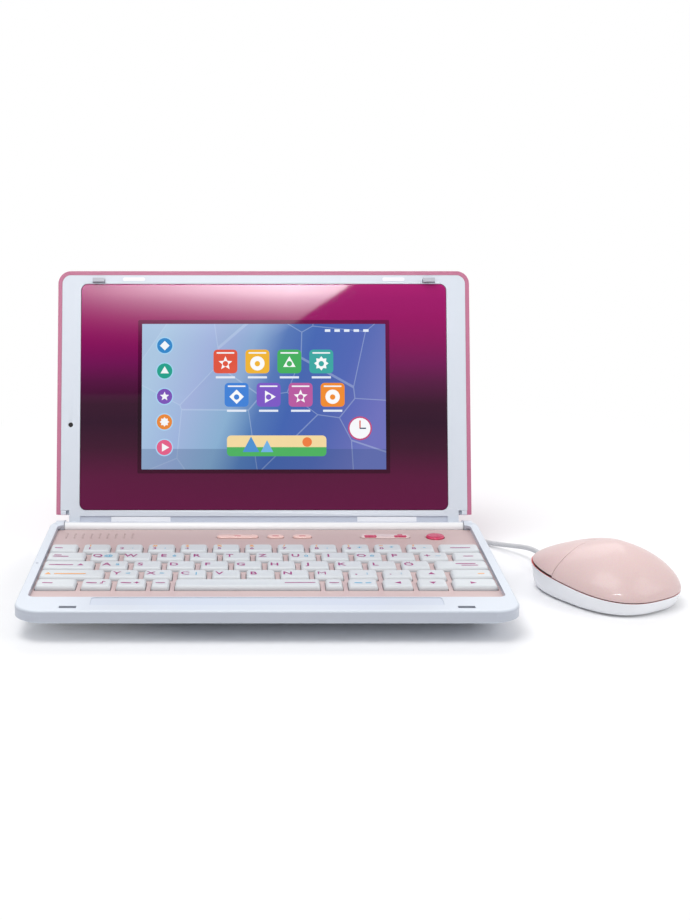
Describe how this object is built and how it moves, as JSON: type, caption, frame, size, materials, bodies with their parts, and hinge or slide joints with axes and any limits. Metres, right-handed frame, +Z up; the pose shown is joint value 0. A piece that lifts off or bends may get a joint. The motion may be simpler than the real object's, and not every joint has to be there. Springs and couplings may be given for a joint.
{
  "type": "toy laptop computer",
  "caption": "Child's clamshell laptop with a colour screen in a hinged lid, a keyboard with separate pressing keys, round and pill buttons, and a corded two-button mouse.",
  "frame": {"origin": "middle of the rear foot strip's underside, on the laptop's plane of symmetry, on the desk", "axes": "+X to the laptop's right as its user sees it, +Y to its rear, +Z up from the desk"},
  "size_m": [0.3636, 0.2328, 0.1678],
  "materials": {
    "white_shell": "moulded white plastic, soft gloss",
    "deck_rose": "pale rose plastic, satin",
    "membrane": "milky silicone sheet",
    "steel": "zinc-plated steel",
    "board": "green circuit board",
    "speaker_cone": "black speaker with a paper cone",
    "cell_wrap": "plain blue battery wrap",
    "rubber_grey": "grey rubber",
    "cord_grey": "light grey soft vinyl",
    "keycap": "white keycap, satin, printed legends",
    "crimson_button": "crimson plastic",
    "pink_shell": "deep pink plastic, gloss",
    "screen_glass": "gloss sheet printed wine and magenta round a clear window",
    "picture_panel": "colour display",
    "latch_grey": "grey latch plastic",
    "bumper_white": "whitish soft bumper",
    "black_insert": "black insert",
    "mouse_rose": "pale rose plastic, pearly gloss",
    "clear_lens": "clear lens"
  },
  "bodies": {
    "root": {"bottom_shell": "white_shell", "top_shell": "white_shell", "keyboard_deck": "deck_rose", "key_membrane": "membrane", "key_backplate": "steel", "main_board": "board", "speaker": "speaker_cone", "battery_door": "white_shell", "battery_door_screw": "steel", "battery_cells": "cell_wrap", "rear_foot_strip": "rubber_grey", "front_feet": "rubber_grey", "case_screws": "steel", "hinge_pins": "steel", "cord_gland": "cord_grey", "mouse_base": "white_shell", "mouse_palm_shell": "mouse_rose", "mouse_board": "board", "mouse_feet": "rubber_grey", "mouse_lens": "clear_lens", "cord": "cord_grey", "cord_coil": "cord_grey"},
    "lid": {"lid_back_shell": "pink_shell", "lid_bezel": "white_shell", "screen_glass": "screen_glass", "lcd_panel": "picture_panel", "latch_hooks": "latch_grey", "lid_bumpers": "bumper_white", "foot_pads": "bumper_white", "microphone": "black_insert"},
    "number_keys": {"number_keys": "keycap"},
    "upper_letter_keys": {"upper_letter_keys": "keycap"},
    "home_letter_keys": {"home_letter_keys": "keycap"},
    "lower_letter_keys": {"lower_letter_keys": "keycap"},
    "escape_key": {"escape_key": "keycap"},
    "delete_key": {"delete_key": "keycap"},
    "tab_key": {"tab_key": "keycap"},
    "upper_right_key": {"upper_right_key": "keycap"},
    "caps_key": {"caps_key": "keycap"},
    "enter_key": {"enter_key": "keycap"},
    "left_shift_key": {"left_shift_key": "keycap"},
    "up_arrow_key": {"up_arrow_key": "keycap"},
    "right_shift_key": {"right_shift_key": "keycap"},
    "control_key": {"control_key": "keycap"},
    "function_key": {"function_key": "keycap"},
    "left_alt_key": {"left_alt_key": "keycap"},
    "left_small_key": {"left_small_key": "keycap"},
    "space_bar": {"space_bar": "keycap"},
    "right_small_key": {"right_small_key": "keycap"},
    "right_alt_key": {"right_alt_key": "keycap"},
    "left_arrow_key": {"left_arrow_key": "keycap"},
    "down_arrow_key": {"down_arrow_key": "keycap"},
    "right_arrow_key": {"right_arrow_key": "keycap"},
    "left_pill_button": {"left_pill_button": "deck_rose"},
    "middle_pill_button": {"middle_pill_button": "deck_rose"},
    "right_pill_button": {"right_pill_button": "deck_rose"},
    "volume_rocker": {"volume_rocker": "deck_rose"},
    "power_button": {"power_button": "crimson_button"},
    "mouse_left_button": {"mouse_left_button": "mouse_rose"},
    "mouse_right_button": {"mouse_right_button": "mouse_rose"}
  },
  "joints": [
    {"name": "lid_hinge", "type": "hinge", "parent": "root", "child": "lid", "pos_m": [0, 0.008, 0.0155], "axis": [1, 0, 0], "range_deg": [-12, 108]},
    {"name": "number_keys_press", "type": "slide", "parent": "root", "child": "number_keys", "axis": [0, 0, -1], "range_m": [0, 0.0016], "stiffness_N_per_m": 300},
    {"name": "upper_letter_keys_press", "type": "slide", "parent": "root", "child": "upper_letter_keys", "axis": [0, 0, -1], "range_m": [0, 0.0016], "stiffness_N_per_m": 300},
    {"name": "home_letter_keys_press", "type": "slide", "parent": "root", "child": "home_letter_keys", "axis": [0, 0, -1], "range_m": [0, 0.0016], "stiffness_N_per_m": 300},
    {"name": "lower_letter_keys_press", "type": "slide", "parent": "root", "child": "lower_letter_keys", "axis": [0, 0, -1], "range_m": [0, 0.0016], "stiffness_N_per_m": 300},
    {"name": "escape_key_press", "type": "slide", "parent": "root", "child": "escape_key", "axis": [0, 0, -1], "range_m": [0, 0.0016], "stiffness_N_per_m": 120},
    {"name": "delete_key_press", "type": "slide", "parent": "root", "child": "delete_key", "axis": [0, 0, -1], "range_m": [0, 0.0016], "stiffness_N_per_m": 120},
    {"name": "tab_key_press", "type": "slide", "parent": "root", "child": "tab_key", "axis": [0, 0, -1], "range_m": [0, 0.0016], "stiffness_N_per_m": 120},
    {"name": "upper_right_key_press", "type": "slide", "parent": "root", "child": "upper_right_key", "axis": [0, 0, -1], "range_m": [0, 0.0016], "stiffness_N_per_m": 120},
    {"name": "caps_key_press", "type": "slide", "parent": "root", "child": "caps_key", "axis": [0, 0, -1], "range_m": [0, 0.0016], "stiffness_N_per_m": 120},
    {"name": "enter_key_press", "type": "slide", "parent": "root", "child": "enter_key", "axis": [0, 0, -1], "range_m": [0, 0.0016], "stiffness_N_per_m": 120},
    {"name": "left_shift_key_press", "type": "slide", "parent": "root", "child": "left_shift_key", "axis": [0, 0, -1], "range_m": [0, 0.0016], "stiffness_N_per_m": 120},
    {"name": "up_arrow_key_press", "type": "slide", "parent": "root", "child": "up_arrow_key", "axis": [0, 0, -1], "range_m": [0, 0.0016], "stiffness_N_per_m": 120},
    {"name": "right_shift_key_press", "type": "slide", "parent": "root", "child": "right_shift_key", "axis": [0, 0, -1], "range_m": [0, 0.0016], "stiffness_N_per_m": 120},
    {"name": "control_key_press", "type": "slide", "parent": "root", "child": "control_key", "axis": [0, 0, -1], "range_m": [0, 0.0016], "stiffness_N_per_m": 120},
    {"name": "function_key_press", "type": "slide", "parent": "root", "child": "function_key", "axis": [0, 0, -1], "range_m": [0, 0.0016], "stiffness_N_per_m": 120},
    {"name": "left_alt_key_press", "type": "slide", "parent": "root", "child": "left_alt_key", "axis": [0, 0, -1], "range_m": [0, 0.0016], "stiffness_N_per_m": 120},
    {"name": "left_small_key_press", "type": "slide", "parent": "root", "child": "left_small_key", "axis": [0, 0, -1], "range_m": [0, 0.0016], "stiffness_N_per_m": 120},
    {"name": "space_bar_press", "type": "slide", "parent": "root", "child": "space_bar", "axis": [0, 0, -1], "range_m": [0, 0.0016], "stiffness_N_per_m": 120},
    {"name": "right_small_key_press", "type": "slide", "parent": "root", "child": "right_small_key", "axis": [0, 0, -1], "range_m": [0, 0.0016], "stiffness_N_per_m": 120},
    {"name": "right_alt_key_press", "type": "slide", "parent": "root", "child": "right_alt_key", "axis": [0, 0, -1], "range_m": [0, 0.0016], "stiffness_N_per_m": 120},
    {"name": "left_arrow_key_press", "type": "slide", "parent": "root", "child": "left_arrow_key", "axis": [0, 0, -1], "range_m": [0, 0.0016], "stiffness_N_per_m": 120},
    {"name": "down_arrow_key_press", "type": "slide", "parent": "root", "child": "down_arrow_key", "axis": [0, 0, -1], "range_m": [0, 0.0016], "stiffness_N_per_m": 120},
    {"name": "right_arrow_key_press", "type": "slide", "parent": "root", "child": "right_arrow_key", "axis": [0, 0, -1], "range_m": [0, 0.0016], "stiffness_N_per_m": 120},
    {"name": "left_pill_button_press", "type": "slide", "parent": "root", "child": "left_pill_button", "axis": [0, 0, -1], "range_m": [0, 0.0007], "stiffness_N_per_m": 200},
    {"name": "middle_pill_button_press", "type": "slide", "parent": "root", "child": "middle_pill_button", "axis": [0, 0, -1], "range_m": [0, 0.0007], "stiffness_N_per_m": 200},
    {"name": "right_pill_button_press", "type": "slide", "parent": "root", "child": "right_pill_button", "axis": [0, 0, -1], "range_m": [0, 0.0007], "stiffness_N_per_m": 200},
    {"name": "volume_rocker_press", "type": "slide", "parent": "root", "child": "volume_rocker", "axis": [0, 0, -1], "range_m": [0, 0.0007], "stiffness_N_per_m": 200},
    {"name": "power_button_press", "type": "slide", "parent": "root", "child": "power_button", "axis": [0, 0, -1], "range_m": [0, 0.0007], "stiffness_N_per_m": 200},
    {"name": "mouse_left_button_press", "type": "hinge", "parent": "root", "child": "mouse_left_button", "pos_m": [0.18759, -0.06622, 0.022], "axis": [-0.848, -0.5299, 0], "range_deg": [0, 1], "stiffness_Nm_per_rad": 2},
    {"name": "mouse_right_button_press", "type": "hinge", "parent": "root", "child": "mouse_right_button", "pos_m": [0.18759, -0.06622, 0.022], "axis": [-0.848, -0.5299, 0], "range_deg": [0, 1], "stiffness_Nm_per_rad": 2}
  ]
}
